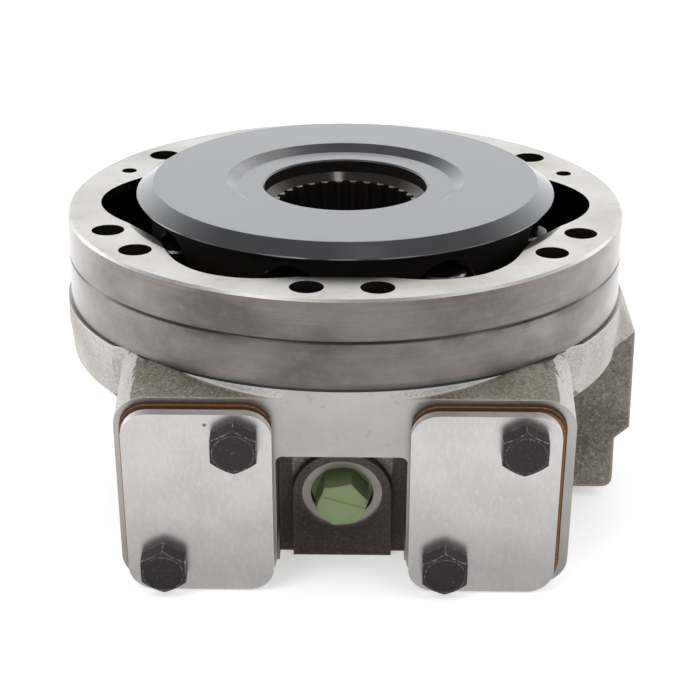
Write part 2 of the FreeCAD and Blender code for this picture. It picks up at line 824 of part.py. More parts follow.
def cover_bolt():
    """A hexagon bolt along Z whose head sits on the plane of the cover plate."""
    corners = regular_polygon(6, bolt_head_across_flats, 0)
    reach = corners[0].Length
    head_top = cover_stack + bolt_head_height
    head = prism([corner + UP * cover_stack for corner in corners], UP * bolt_head_height)
    crown = turned((0, cover_stack), (reach, cover_stack), (reach, head_top - bolt_head_bevel),
                   (bolt_head_across_flats / 2 - bolt_crown_setback, head_top), (0, head_top))
    shank = upright(flange_bolt_radius - flange_bolt_fit, -flange_bolt_grip, cover_stack)
    return head.common(crown).fuse(shank).removeSplitter()


def cover_bolts(across):
    return Part.makeCompound([on_port_face(cover_bolt(), bolt_across, bolt_up)
                              for bolt_across, bolt_up in used_bolt_places(across)])


def drain_plug():
    """A moulded plug screwed into the drain port, with a hexagon that stands out of it."""
    corners = regular_polygon(6, plug_hexagon_across_flats, plug_length)
    reach = math.hypot(corners[0].x, corners[0].y)
    top = plug_length + plug_hexagon_height
    crown = turned((0, plug_length), (reach, plug_length), (reach, top - plug_hexagon_bevel),
                   (reach - 2 * plug_hexagon_bevel, top), (0, top))
    hexagon = prism(corners, UP * plug_hexagon_height).common(crown)
    hexagon.rotate(ORIGIN, UP, plug_hexagon_turn)
    body = Part.makeCylinder(drain_hole_radius - plug_fit, plug_length)
    plug = body.fuse(hexagon).removeSplitter()
    return on_port_face(plug, 0, drain_height, -boss_face_depth - plug_setback - plug_length)


# End cover

def cover_screw_angles():
    return [FULL_TURN * (index + 0.5) / cover_screw_count for index in range(cover_screw_count)]


def cover_screw(degrees):
    """A countersunk screw, flush with the foot of the cover."""
    centre = polar(cover_screw_circle_radius, degrees, cover_bottom)
    head_height = cover_screw_head_radius - cover_screw_radius
    head = Part.makeCone(cover_screw_head_radius, cover_screw_radius, head_height, centre)
    shank = upright(cover_screw_radius, cover_bottom, cover_bottom + cover_screw_length, centre)
    return head.fuse(shank).removeSplitter()


def cover_screws():
    screws = []
    for degrees in cover_screw_angles():
        centre = polar(cover_screw_circle_radius, degrees, cover_bottom)
        socket = [point + centre for point in regular_polygon(6, cover_socket_across_flats, 0)]
        screws.append(cover_screw(degrees).cut(prism(socket, UP * cover_socket_depth)))
    return Part.makeCompound(screws)


def cover_seal():
    bottom = cover_top + (cover_spigot_height - cover_seal_width) / 2
    return flat_ring(end_bore_radius, end_bore_radius - cover_seal_depth, bottom, bottom + cover_seal_width)


def end_cover():
    spigot = end_bore_radius - cover_spigot_clearance
    spigot_top = cover_top + cover_spigot_height
    cover = turned((0, cover_bottom), (cover_radius - cover_edge_bevel, cover_bottom),
                   (cover_radius, cover_bottom + cover_edge_bevel), (cover_radius, cover_top),
                   (spigot, cover_top), (spigot, spigot_top), (0, spigot_top))
    return cut_all(cover, [cover_screw(degrees) for degrees in cover_screw_angles()] + [cover_seal()])


def all_parts():
    parts = {
        "cam_ring_upper": cam_ring_upper(),
        "cam_ring_lower": cam_ring_lower(),
        "ring_joint_seal": face_seal_groove(ring_seam),
        "housing_face_seal": face_seal_groove(ring_bottom),
        "locating_pins": locating_pins(),
        "cylinder_block": cylinder_block(),
        "distributor": distributor(),
        "distributor_pin": distributor_pin(),
        "distributor_spring": distributor_spring(),
        "port_housing": port_housing(),
        "drain_plug": drain_plug(),
        "end_cover": end_cover(),
        "end_cover_seal": cover_seal(),
        "end_cover_screws": cover_screws(),
    }
    for name, (outer, top) in zip(("upper", "middle", "lower"), distributor_seal_seats()):
        parts["distributor_seal_" + name] = distributor_seal(outer, top)
    for side, across in port_centres.items():
        parts["port_gasket_" + side] = gasket(side)
        parts["port_cover_" + side] = cover_plate(across)
        parts["port_cover_bolts_" + side] = cover_bolts(across)
    blanks = {"piston": piston_blank(), "piston_ring": piston_ring_blank(),
              "roller_bush": roller_bush_blank(), "roller": roller_blank()}
    for number, degrees in enumerate(piston_angles(), start=1):
        for kind, blank in blanks.items():
            parts["%s_%d" % (kind, number)] = in_cylinder(blank, degrees)
    return parts


def main():
    os.makedirs("parts", exist_ok=True)
    for name, shape in all_parts().items():
        shape.exportStep(os.path.join("parts", name + ".step"))
        print(name, "solids", len(shape.Solids), "volume", round(shape.Volume, 1), "valid", shape.isValid())


main()
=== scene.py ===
# %% [markdown]
# # A hydraulic drive motor
# The motor lies on its base with the port side forward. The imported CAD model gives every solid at
# its true size. This script dresses those solids in real finishes, swaps the two gaskets for
# layered ones, and sets up a plain studio. Lengths are metres; `MM` turns millimetres into metres.

# %% Load the frame
import json
import math
import bmesh
import bpy
from mathutils import Matrix, Vector


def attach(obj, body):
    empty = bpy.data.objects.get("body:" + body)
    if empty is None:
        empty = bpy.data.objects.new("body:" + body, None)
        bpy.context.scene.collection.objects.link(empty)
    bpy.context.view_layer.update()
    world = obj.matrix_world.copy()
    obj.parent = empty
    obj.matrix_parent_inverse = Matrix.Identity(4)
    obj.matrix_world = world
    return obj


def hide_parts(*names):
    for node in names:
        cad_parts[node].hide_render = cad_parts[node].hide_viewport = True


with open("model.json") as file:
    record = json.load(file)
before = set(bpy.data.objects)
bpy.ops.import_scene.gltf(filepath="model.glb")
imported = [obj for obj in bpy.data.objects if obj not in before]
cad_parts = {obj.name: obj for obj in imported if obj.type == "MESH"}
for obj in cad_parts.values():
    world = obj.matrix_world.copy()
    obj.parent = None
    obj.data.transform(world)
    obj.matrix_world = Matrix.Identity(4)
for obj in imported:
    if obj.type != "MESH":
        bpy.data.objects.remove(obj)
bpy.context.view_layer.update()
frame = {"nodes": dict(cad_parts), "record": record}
MM = 0.001
nodes = frame["nodes"]
mounts = {mount["name"]: mount for mount in frame["record"]["mounts"]}


# %% [markdown]
# ## The camera
# A long lens looks slightly down on the port side. Its place was fitted to the cam ring's rim and
# the port covers. It could be placed with a tracking constraint, but three angles, a distance and an
# aim point keep each cause apart, so that one of them can be corrected without the others. Angles
# are in radians.

# %% Camera
ELEVATION = math.radians(22.65)
AZIMUTH = math.radians(0.59)
ROLL = 0.0037
DISTANCE = 797.96 * MM
AIM = Vector((0, 0, -61.71 * MM))
SENSOR_WIDTH_MM = 36
FOCAL_LENGTH_MM = 104.47
SIDE_SHIFT = 0.0076


def place_camera():
    away = math.cos(ELEVATION)
    backward = Vector((math.sin(AZIMUTH) * away, -math.cos(AZIMUTH) * away, math.sin(ELEVATION)))
    level_right = Vector((math.cos(AZIMUTH), math.sin(AZIMUTH), 0))
    level_up = backward.cross(level_right)
    right = math.cos(ROLL) * level_right + math.sin(ROLL) * level_up
    upward = -math.sin(ROLL) * level_right + math.cos(ROLL) * level_up
    camera = bpy.data.objects.new("camera", bpy.data.cameras.new("camera"))
    bpy.context.scene.collection.objects.link(camera)
    turn = Matrix((right, upward, backward)).transposed().to_4x4()
    camera.matrix_world = Matrix.Translation(AIM + backward * DISTANCE) @ turn
    camera.data.sensor_width = SENSOR_WIDTH_MM
    camera.data.lens = FOCAL_LENGTH_MM
    camera.data.shift_x = SIDE_SHIFT
    bpy.context.scene.camera = camera
    return camera


camera = place_camera()
print("camera at", [round(value, 3) for value in camera.location])

# %% [markdown]
# ## Colours and nodes
# Colours are written as the sRGB hex that a paint chart would give, and one function turns them
# into the linear values that a shader works in. One more small function adds a shader node with its
# settings, and fills or links its inputs. The rest of the script calls that function for every node.

# %% Helpers for materials


def linear(code):
    """An sRGB hex colour as linear red, green, blue and alpha."""
    channels = [int(code[start:start + 2], 16) / 255 for start in (1, 3, 5)]
    return tuple(c / 12.92 if c <= 0.04045 else ((c + 0.055) / 1.055) ** 2.4 for c in channels) + (1.0,)


def add(tree, kind, inputs=None, **settings):
    """Adds a node. An input takes a number, a hex colour, a socket, or a node whose result it uses."""
    node = tree.nodes.new(kind)
    for name, value in settings.items():
        setattr(node, name, value)
    for name, value in (inputs or {}).items():
        if isinstance(value, bpy.types.Node):
            value = next(output for output in value.outputs if output.enabled)
        if isinstance(value, bpy.types.NodeSocket):
            tree.links.new(value, node.inputs[name])
        else:
            node.inputs[name].default_value = linear(value) if isinstance(value, str) else value
    return node


def new_material(name):
    """A material with an empty node tree, and the place on the part in metres."""
    material = bpy.data.materials.new(name)
    material.use_nodes = True
    material.node_tree.nodes.clear()
    return material, material.node_tree, add(material.node_tree, "ShaderNodeTexCoord").outputs["Object"]


def per_metre(size_mm):
    """The texture scale that gives marks of a real size."""
    return 1 / (size_mm * MM)


def worn_and_highlit_edges(tree, width_mm, start, full, most=1.0):
    """A mask that is strongest on edges, for wear and a painted highlight there: start and full are how far
    the normals differ.
    """
    rounded = add(tree, "ShaderNodeBevel", {"Radius": width_mm * MM}, samples=6)
    true = add(tree, "ShaderNodeNewGeometry").outputs["Normal"]
    match = add(tree, "ShaderNodeVectorMath", {0: rounded, 1: true},
                operation="DOT_PRODUCT").outputs["Value"]
    return add(tree, "ShaderNodeMapRange", {"Value": match, "From Min": 1 - start, "From Max": 1 - full,
                                            "To Min": 0.0, "To Max": most})


def close_material(material, **inputs):
    """Adds the surface shader and the output. Underscores in the names stand for spaces."""
    tree = material.node_tree
    surface = add(tree, "ShaderNodeBsdfPrincipled", {name.replace("_", " "): value
                                                     for name, value in inputs.items()})
    add(tree, "ShaderNodeOutputMaterial", {"Surface": surface})
    return material


print("white in linear light", linear("#ffffff")[:3])

# %% [markdown]
# ## Ground and turned steel
# The cam ring is hardened steel. Its top face is surface-ground: nearly white in a studio, with a
# film of faint stains. Its rim is turned and left oily, so it is browner and darker, with fine lathe
# lines round it and dirt along the seams. The oil is a clear coat: it adds the bright grazing shine
# at the sides of the ring while the metal under it stays dark. Lathe lines are really 0.1 mm apart
# and are drawn at 0.4 mm, so that they show. Each row of `SEAM_DIRT` is a band of dirt: its height
# and its reach in millimetres, its strength, and the share of that strength which it keeps where
# the dirt is thinnest. `worn_and_highlit_edges` above compares the true normal with one that a bevel
# has rounded: they differ only near an edge, which is painted lighter, partly for the wear where
# handling rubs the surface bright and partly as a painted highlight of the light that an edge catches.

# %% Steel of the cam ring


def ground_steel():
    material, tree, place = new_material("ground_steel")
    film = add(tree, "ShaderNodeTexNoise", {"Vector": place, "Scale": per_metre(34), "Detail": 5})
    film = add(tree, "ShaderNodeMapRange", {"Value": film, "From Min": 0.42, "From Max": 0.72})
    colour = add(tree, "ShaderNodeMix", {0: film, 6: "#dcd9d4", 7: "#cdc9c2"}, data_type="RGBA")
    spots = add(tree, "ShaderNodeTexNoise", {"Vector": place, "Scale": per_metre(5), "Detail": 4})
    spots = add(tree, "ShaderNodeMapRange", {"Value": spots, "From Min": 0.56, "From Max": 0.80,
                                             "To Max": 0.5})
    colour = add(tree, "ShaderNodeMix", {0: spots, 6: colour, 7: "#b3aca2"}, data_type="RGBA")
    along = add(tree, "ShaderNodeMapping", {"Vector": place, "Scale": (1, 6, 1)})
    grinding = add(tree, "ShaderNodeTexNoise", {"Vector": along, "Scale": per_metre(1.2), "Detail": 3})
    relief = add(tree, "ShaderNodeBump", {"Height": grinding, "Distance": 0.004 * MM})
    gloss = add(tree, "ShaderNodeMapRange", {"Value": film, "To Min": 0.30, "To Max": 0.40})
    return close_material(material, Base_Color=colour, Metallic=1.0, Roughness=gloss, Normal=relief)


SEAM_DIRT = ((-15.6, 0.95, 0.95, 0.9), (-16.6, 3.2, 0.7, 0.0), (-32.8, 2.4, 0.9, 0.4))
SEAM_CORE_MM = 0.3


def turned_steel():
    material, tree, place = new_material("turned_steel")
    height = add(tree, "ShaderNodeSeparateXYZ", {"Vector": place}).outputs["Z"]
    around = add(tree, "ShaderNodeMapping", {"Vector": place, "Scale": (0.02, 0.02, 5)})
    lathe = add(tree, "ShaderNodeTexNoise", {"Vector": around, "Scale": per_metre(2), "Detail": 4})
    lines = add(tree, "ShaderNodeMapRange", {"Value": lathe, "From Min": 0.42, "From Max": 0.72,
                                             "To Max": 0.3})
    flattened = add(tree, "ShaderNodeMapping", {"Vector": place, "Scale": (1, 1, 2)})
    smears = add(tree, "ShaderNodeTexNoise", {"Vector": flattened, "Scale": per_metre(38), "Detail": 5})
    smears = add(tree, "ShaderNodeMapRange", {"Value": smears, "From Min": 0.38, "From Max": 0.64})
    handling = add(tree, "ShaderNodeTexNoise", {"Vector": place, "Scale": per_metre(3), "Detail": 5})
    handling = add(tree, "ShaderNodeMapRange", {"Value": handling, "From Min": 0.5, "From Max": 0.8,
                                                "To Max": 0.2})
    colour = add(tree, "ShaderNodeMix", {0: smears, 6: "#857c76", 7: "#5f564f"}, data_type="RGBA")
    colour = add(tree, "ShaderNodeMix", {0: handling, 6: colour, 7: "#9a9088"}, data_type="RGBA")
    colour = add(tree, "ShaderNodeMix", {0: lines, 6: colour, 7: "#4d443e"}, data_type="RGBA")
    streaks = add(tree, "ShaderNodeTexNoise", {"Vector": flattened, "Scale": per_metre(22), "Detail": 6})
    streaks = add(tree, "ShaderNodeMapRange", {"Value": streaks, "From Min": 0.42, "From Max": 0.60})
    for seam_mm, reach_mm, strength, least in SEAM_DIRT:
        offset = add(tree, "ShaderNodeMath", {0: height, 1: seam_mm * MM}, operation="SUBTRACT")
        distance = add(tree, "ShaderNodeMath", {0: offset}, operation="ABSOLUTE")
        band = add(tree, "ShaderNodeMapRange", {"Value": distance, "From Min": SEAM_CORE_MM * MM,
                                                "From Max": reach_mm * MM, "To Min": strength,
                                                "To Max": 0.0})
        uneven = add(tree, "ShaderNodeMapRange", {"Value": streaks, "To Min": least, "To Max": 1.0})
        band = add(tree, "ShaderNodeMath", {0: band, 1: uneven}, operation="MULTIPLY")
        colour = add(tree, "ShaderNodeMix", {0: band, 6: colour, 7: "#2b211b"}, data_type="RGBA")
    relief = add(tree, "ShaderNodeBump", {"Height": lathe, "Distance": 0.01 * MM})
    gloss = add(tree, "ShaderNodeMapRange", {"Value": smears, "To Min": 0.34, "To Max": 0.44})
    return close_material(material, Base_Color=colour, Metallic=1.0, Roughness=gloss, Normal=relief,
                          Coat_Weight=1.0, Coat_Roughness=0.2, Coat_IOR=1.6)


# The cam track is oiled steel painted near black: painted shade and a painted reflection of the black rotor
# it faces. The oil gives its gloss.
def painted_dark_track():
    material, tree, place = new_material("cam_track_painted_dark")
    film = add(tree, "ShaderNodeTexNoise", {"Vector": place, "Scale": per_metre(9), "Detail": 3})
    colour = add(tree, "ShaderNodeMix", {0: film, 6: "#1e1b1a", 7: "#332e2a"}, data_type="RGBA")
    gloss = add(tree, "ShaderNodeMapRange", {"Value": film, "To Min": 0.16, "To Max": 0.34})
    return close_material(material, Base_Color=colour, Metallic=1.0, Roughness=gloss)


# A near black, dull finish: painted shade in the ring's holes, the bore's mouth and under the disc.
def painted_shade_black():
    material, tree, place = new_material("painted_shade_black")
    shade_mottle = add(tree, "ShaderNodeTexNoise", {"Vector": place, "Scale": per_metre(3), "Detail": 4})
    colour = add(tree, "ShaderNodeMix", {0: shade_mottle, 6: "#080706", 7: "#171310"}, data_type="RGBA")
    relief = add(tree, "ShaderNodeBump", {"Height": shade_mottle, "Distance": 0.02 * MM})
    return close_material(material, Base_Color=colour, Metallic=0.3, Roughness=0.7, Normal=relief,
                          Specular_IOR_Level=0.15)


GROUND_STEEL = ground_steel()
TURNED_STEEL = turned_steel()
CAM_TRACK_PAINTED_DARK = painted_dark_track()
PAINTED_SHADE_BLACK = painted_shade_black()
print("steel finishes", [made.name for made in (GROUND_STEEL, TURNED_STEEL, CAM_TRACK_PAINTED_DARK, PAINTED_SHADE_BLACK)])

# %% [markdown]
# ## Black phosphate
# The cylinder block is phosphated and oiled. The coat is nearly black, but its crystals have a high
# index and the oil lies on them as a clear film, so at a low angle it mirrors the bright backdrop
# and reads blue-grey, while a slope that faces up stays dark. That is why the index is high and
# a clear coat is added, and the colour stays black. The bore's lead-in, the ends of the spline
# teeth and the flared mouths of the piston bores are cut after the bath, so bare steel shows there.
# The tooth ends are painted near white and rough, so that they show the glints of the tooth tips:
# bare steel with a painted highlight.

# %% Phosphate and bare steel


def oiled_phosphate():
    material, tree, place = new_material("oiled_phosphate")
    mottling = add(tree, "ShaderNodeTexNoise", {"Vector": place, "Scale": per_metre(14), "Detail": 5})
    colour = add(tree, "ShaderNodeMix", {0: mottling, 6: "#141417", 7: "#1d1d22"}, data_type="RGBA")
    gloss = add(tree, "ShaderNodeMapRange", {"Value": mottling, "To Min": 0.19, "To Max": 0.29})
    crystals = add(tree, "ShaderNodeTexNoise", {"Vector": place, "Scale": per_metre(0.6), "Detail": 2})
    relief = add(tree, "ShaderNodeBump", {"Height": crystals, "Distance": 0.003 * MM})
    return close_material(material, Base_Color=colour, Roughness=gloss, Normal=relief, IOR=2.25,
                          Coat_Weight=1.0, Coat_IOR=1.68, Coat_Roughness=0.2)


def bare_steel(name, light, dark, roughness):
    """Steel cut after the bath. One function, because only the cut's brightness differs."""
    material, tree, place = new_material(name)
    turned = add(tree, "ShaderNodeMapping", {"Vector": place, "Scale": (1, 1, 5)})
    marks = add(tree, "ShaderNodeTexNoise", {"Vector": turned, "Scale": per_metre(1.5), "Detail": 4})
    colour = add(tree, "ShaderNodeMix", {0: marks, 6: light, 7: dark}, data_type="RGBA")
    relief = add(tree, "ShaderNodeBump", {"Height": marks, "Distance": 0.004 * MM})
    return close_material(material, Base_Color=colour, Metallic=1.0, Roughness=roughness, Normal=relief)


PHOSPHATE = oiled_phosphate()
LEAD_IN_STEEL = bare_steel("lead_in_steel", "#6d6965", "#504d49", 0.15)
# The tooth ends are painted near white and rough: bare steel with a painted highlight for their glints.
TOOTH_END_GLINT_STEEL = bare_steel("tooth_end_steel_painted_glint", "#efedea", "#d5d2cd", 0.55)
FLARE_STEEL = bare_steel("oily_flare_steel", "#8d8882", "#5c5853", 0.18)
print("phosphate finishes made")

# %% [markdown]
# ## The port face
# The port mount in the record gives a point on the left cover's outer face and the way it looks.
# The port face lies a cover and a gasket behind it. From those, every place on the port side can be
# given as across, up the slope, and out of the port face. The same three numbers are made inside a
# material with dot products, for marks at a known place.

# %% Places on the port side
port_out = Vector(mounts["port_flange_left"]["axis"])
port_up = Vector((0, port_out.z, -port_out.y))
COVER_AND_GASKET = 7.2 * MM
port_left = Vector(mounts["port_flange_left"]["pos_m"]) - port_out * COVER_AND_GASKET
port_middle = Vector((0, port_left.y, port_left.z))


def on_port_face(point):
    """A point as across, up and out of the port face, in millimetres."""
    offset = point - port_middle
    return offset.x / MM, offset.dot(port_up) / MM, offset.dot(port_out) / MM


print("port face leans", round(math.degrees(math.asin(-port_out.z)), 2), "degrees")

# %% [markdown]
# ## Sand-cast and machined iron
# The housing is grey iron, cast in sand: the skin keeps the print of the grains, about half a
# millimetre, drawn here a little coarser so that it shows. The grain tops are lighter and the pits
# darker: partly the skin's own specks and dirt, partly painted light and shade that agrees with the
# bump. Edges are lighter, for wear and as a painted highlight. It has three looks: grey-brown and
# dull on the slopes; lighter on the flange and the pads, which is painted light for the light that
# reaches these sides; and dark in the recess, with oil and dust and with painted shade. One function
# makes all three, because only their colours differ. It can take `lighter_areas`, a second function
# that lightens parts of a surface. The recess takes it: it is lighter towards the top and in two
# corners beside the arched boss. The port face, the spot face round the plug and the flange are
# milled.

# %% Iron of the port housing


def sand_cast(name, light, dark, lit_speck, shaded_pit, edge, roughness, lighter_areas=None):
    material, tree, place = new_material(name)
    grains = add(tree, "ShaderNodeTexNoise", {"Vector": place, "Scale": per_metre(1.1), "Detail": 3,
                                              "Roughness": 0.7})
    lumps = add(tree, "ShaderNodeTexNoise", {"Vector": place, "Scale": per_metre(4.5), "Detail": 4})
    areas = add(tree, "ShaderNodeTexNoise", {"Vector": place, "Scale": per_metre(28), "Detail": 4})
    areas = add(tree, "ShaderNodeMapRange", {"Value": areas, "From Min": 0.38, "From Max": 0.66})
    # Grain tops lighter and pits darker: partly specks and dirt, partly painted light and shade of the
    # grains that agrees with the bump.
    lit_tops = add(tree, "ShaderNodeMapRange", {"Value": grains, "From Min": 0.53, "From Max": 0.72,
                                            "To Max": 0.7})
    shaded_pits = add(tree, "ShaderNodeMapRange", {"Value": grains, "From Min": 0.46, "From Max": 0.30,
                                            "To Max": 0.75})
    colour = add(tree, "ShaderNodeMix", {0: areas, 6: light, 7: dark}, data_type="RGBA")
    colour = add(tree, "ShaderNodeMix", {0: lit_tops, 6: colour, 7: lit_speck}, data_type="RGBA")
    colour = add(tree, "ShaderNodeMix", {0: shaded_pits, 6: colour, 7: shaded_pit}, data_type="RGBA")
    # Edges lighter: wear, and a painted highlight of the light that an edge catches.
    wear_and_highlight = worn_and_highlit_edges(tree, width_mm=2.4, start=0.01, full=0.16, most=0.6)
    colour = add(tree, "ShaderNodeMix", {0: wear_and_highlight, 6: colour, 7: edge}, data_type="RGBA")
    if lighter_areas:
        colour = lighter_areas(tree, place, grains, colour)
    height = add(tree, "ShaderNodeMix", {0: 0.55, 2: grains, 3: lumps})
    soft_edges = add(tree, "ShaderNodeBevel", {"Radius": 0.9 * MM}, samples=4)
    skin = add(tree, "ShaderNodeBump", {"Height": height, "Distance": 0.4 * MM, "Normal": soft_edges})
    gloss = add(tree, "ShaderNodeMapRange", {"Value": grains, "To Min": roughness,
                                             "To Max": roughness + 0.16})
    return close_material(material, Base_Color=colour, Metallic=0.25, Roughness=gloss, Normal=skin)


def lighter_in_recess(tree, place, grains, colour):
    """Lightens the recess towards the top, and in the floor's two corners."""
    offset = add(tree, "ShaderNodeVectorMath", {0: place, 1: port_middle},
                 operation="SUBTRACT").outputs["Vector"]
    up, out = [add(tree, "ShaderNodeVectorMath", {0: offset, 1: way},
                   operation="DOT_PRODUCT").outputs["Value"] for way in (port_up, port_out)]
    across = add(tree, "ShaderNodeSeparateXYZ", {"Vector": offset}).outputs["X"]
    patchy = add(tree, "ShaderNodeMapRange", {"Value": grains, "From Min": 0.40, "From Max": 0.56,
                                              "To Min": 0.4})
    towards_top = add(tree, "ShaderNodeMapRange", {"Value": up, "From Min": -26 * MM, "From Max": 2 * MM,
                                                   "To Max": 0.55})
    lighter_share = add(tree, "ShaderNodeMath", {0: towards_top, 1: patchy}, operation="MULTIPLY")
    colour = add(tree, "ShaderNodeMix", {0: lighter_share, 6: colour, 7: "#857c75"}, data_type="RGBA")
    beside = add(tree, "ShaderNodeMath", {0: across}, operation="ABSOLUTE")
    corner = add(tree, "ShaderNodeMapRange", {"Value": beside, "From Min": 18.5 * MM,
                                              "From Max": 18.1 * MM})
    high = add(tree, "ShaderNodeMapRange", {"Value": up, "From Min": -11 * MM, "From Max": -6 * MM})
    deep = add(tree, "ShaderNodeMapRange", {"Value": out, "From Min": -23.5 * MM,
                                            "From Max": -23.9 * MM})
    for limit in (high, deep, patchy):
        corner = add(tree, "ShaderNodeMath", {0: corner, 1: limit}, operation="MULTIPLY")
    return add(tree, "ShaderNodeMix", {0: corner, 6: colour, 7: "#b0aaa1"}, data_type="RGBA")


def milled_iron(name, light, dark):
    material, tree, place = new_material(name)
    feed = add(tree, "ShaderNodeMapping", {"Vector": place, "Scale": (1, 8, 8)})
    cutter = add(tree, "ShaderNodeTexNoise", {"Vector": feed, "Scale": per_metre(1.4), "Detail": 3})
    cloud = add(tree, "ShaderNodeTexNoise", {"Vector": place, "Scale": per_metre(25), "Detail": 4})
    cloud = add(tree, "ShaderNodeMapRange", {"Value": cloud, "From Min": 0.35, "From Max": 0.7})
    stains = add(tree, "ShaderNodeTexNoise", {"Vector": place, "Scale": per_metre(3), "Detail": 4})
    stains = add(tree, "ShaderNodeMapRange", {"Value": stains, "From Min": 0.64, "From Max": 0.8,
                                              "To Max": 0.5})
    colour = add(tree, "ShaderNodeMix", {0: cloud, 6: light, 7: dark}, data_type="RGBA")
    colour = add(tree, "ShaderNodeMix", {0: stains, 6: colour, 7: "#7b756e"}, data_type="RGBA")
    relief = add(tree, "ShaderNodeBump", {"Height": cutter, "Distance": 0.006 * MM})
    gloss = add(tree, "ShaderNodeMapRange", {"Value": cutter, "To Min": 0.34, "To Max": 0.44})
    return close_material(material, Base_Color=colour, Metallic=1.0, Roughness=gloss, Normal=relief)


SAND_CAST_IRON = sand_cast("sand_cast_iron", light="#8b8478", dark="#665e51", lit_speck="#bcb5a9",
                           shaded_pit="#3d362d", edge="#c8c3bb", roughness=0.52)
# The lighter copy is painted light for the flange's side and the pads' outer sides.
LIT_CAST_IRON = sand_cast("lit_cast_iron", light="#c9c5bf", dark="#b1aca5", lit_speck="#dcd8d3",
                            shaded_pit="#857e77", edge="#e2dfda", roughness=0.48)
# The darker copy for the recess: oil and dust, and painted shade.
OILY_AND_SHADED_IRON = sand_cast("oily_and_shaded_cast_iron", light="#41342f", dark="#281d1b", lit_speck="#65574f",
                           shaded_pit="#130c0b", edge="#625751", roughness=0.46, lighter_areas=lighter_in_recess)
MILLED_IRON = milled_iron("milled_iron", "#bfbbb8", "#adaaa5")
SPOT_MILLED_IRON = milled_iron("spot_milled_iron", "#b2aca6", "#8f8881")
print("iron finishes made")

# %% [markdown]
# ## Covers, bolts, gaskets and plug
# The shipping covers are satin steel plate with sawn edges, fine scuffs and one small dent, near
# the top of the left one; their edges are painted lighter, for wear and as a painted highlight. The
# bolts are black oxide with edges that the spanner has rubbed bright here and there, and the same
# lightening paints the highlight that those edges catch. The gasket is sheets, tan and dark brown in
# turn: the tan is its fibre, and the dark brown is painted shade for the groove beside the cover.
# The plug is a soft polyethylene moulding, so light enters it a little, which subsurface scattering
# gives; the two halves of its mould have left a fine line over its head.

# %% Finishes of the small pieces
DENT = Vector((-46.8, -106.8, -45.3)) * MM
MOULD_LINE = (Vector((-5.76, -78.4, -87.11)) * MM, Vector((6.43, -77.71, -90.99)) * MM)


def satin_plate(name, light, dark, roughness):
    material, tree, place = new_material(name)
    rolled = add(tree, "ShaderNodeMapping", {"Vector": place, "Scale": (1, 1, 3)})
    rolling = add(tree, "ShaderNodeTexNoise", {"Vector": rolled, "Scale": per_metre(1.6), "Detail": 3})
    cloud = add(tree, "ShaderNodeTexNoise", {"Vector": place, "Scale": per_metre(16), "Detail": 5})
    cloud = add(tree, "ShaderNodeMapRange", {"Value": cloud, "From Min": 0.35, "From Max": 0.68})
    specks = add(tree, "ShaderNodeTexNoise", {"Vector": place, "Scale": per_metre(1), "Detail": 2})
    specks = add(tree, "ShaderNodeMapRange", {"Value": specks, "From Min": 0.74, "From Max": 0.8,
                                              "To Max": 0.4})
    from_dent = add(tree, "ShaderNodeVectorMath", {0: place, 1: DENT},
                    operation="DISTANCE").outputs["Value"]
    dent = add(tree, "ShaderNodeMapRange", {"Value": from_dent, "From Min": 0.9 * MM,
                                            "From Max": 0.5 * MM, "To Max": 0.8})
    streaked = add(tree, "ShaderNodeMapping", {"Vector": place, "Scale": (1, 0.4, 0.4)})
    scuffs = add(tree, "ShaderNodeTexNoise", {"Vector": streaked, "Scale": per_metre(1.1), "Detail": 4})
    scuffs = add(tree, "ShaderNodeMapRange", {"Value": scuffs, "From Min": 0.48, "From Max": 0.72,
                                              "To Max": 0.28})
    colour = add(tree, "ShaderNodeMix", {0: cloud, 6: light, 7: dark}, data_type="RGBA")
    colour = add(tree, "ShaderNodeMix", {0: scuffs, 6: colour, 7: "#e9e7e5"}, data_type="RGBA")
    colour = add(tree, "ShaderNodeMix", {0: specks, 6: colour, 7: "#77716d"}, data_type="RGBA")
    colour = add(tree, "ShaderNodeMix", {0: dent, 6: colour, 7: "#4a4442"}, data_type="RGBA")
    # Edges lighter: wear, and a painted highlight.
    wear_and_highlight = worn_and_highlit_edges(tree, width_mm=0.5, start=0.01, full=0.2, most=0.6)
    colour = add(tree, "ShaderNodeMix", {0: wear_and_highlight, 6: colour, 7: "#efede9"}, data_type="RGBA")
    relief = add(tree, "ShaderNodeBump", {"Height": rolling, "Distance": 0.005 * MM})
    gloss = add(tree, "ShaderNodeMapRange", {"Value": rolling, "To Min": roughness,
                                             "To Max": roughness + 0.1})
    return close_material(material, Base_Color=colour, Metallic=1.0, Roughness=gloss, Normal=relief)


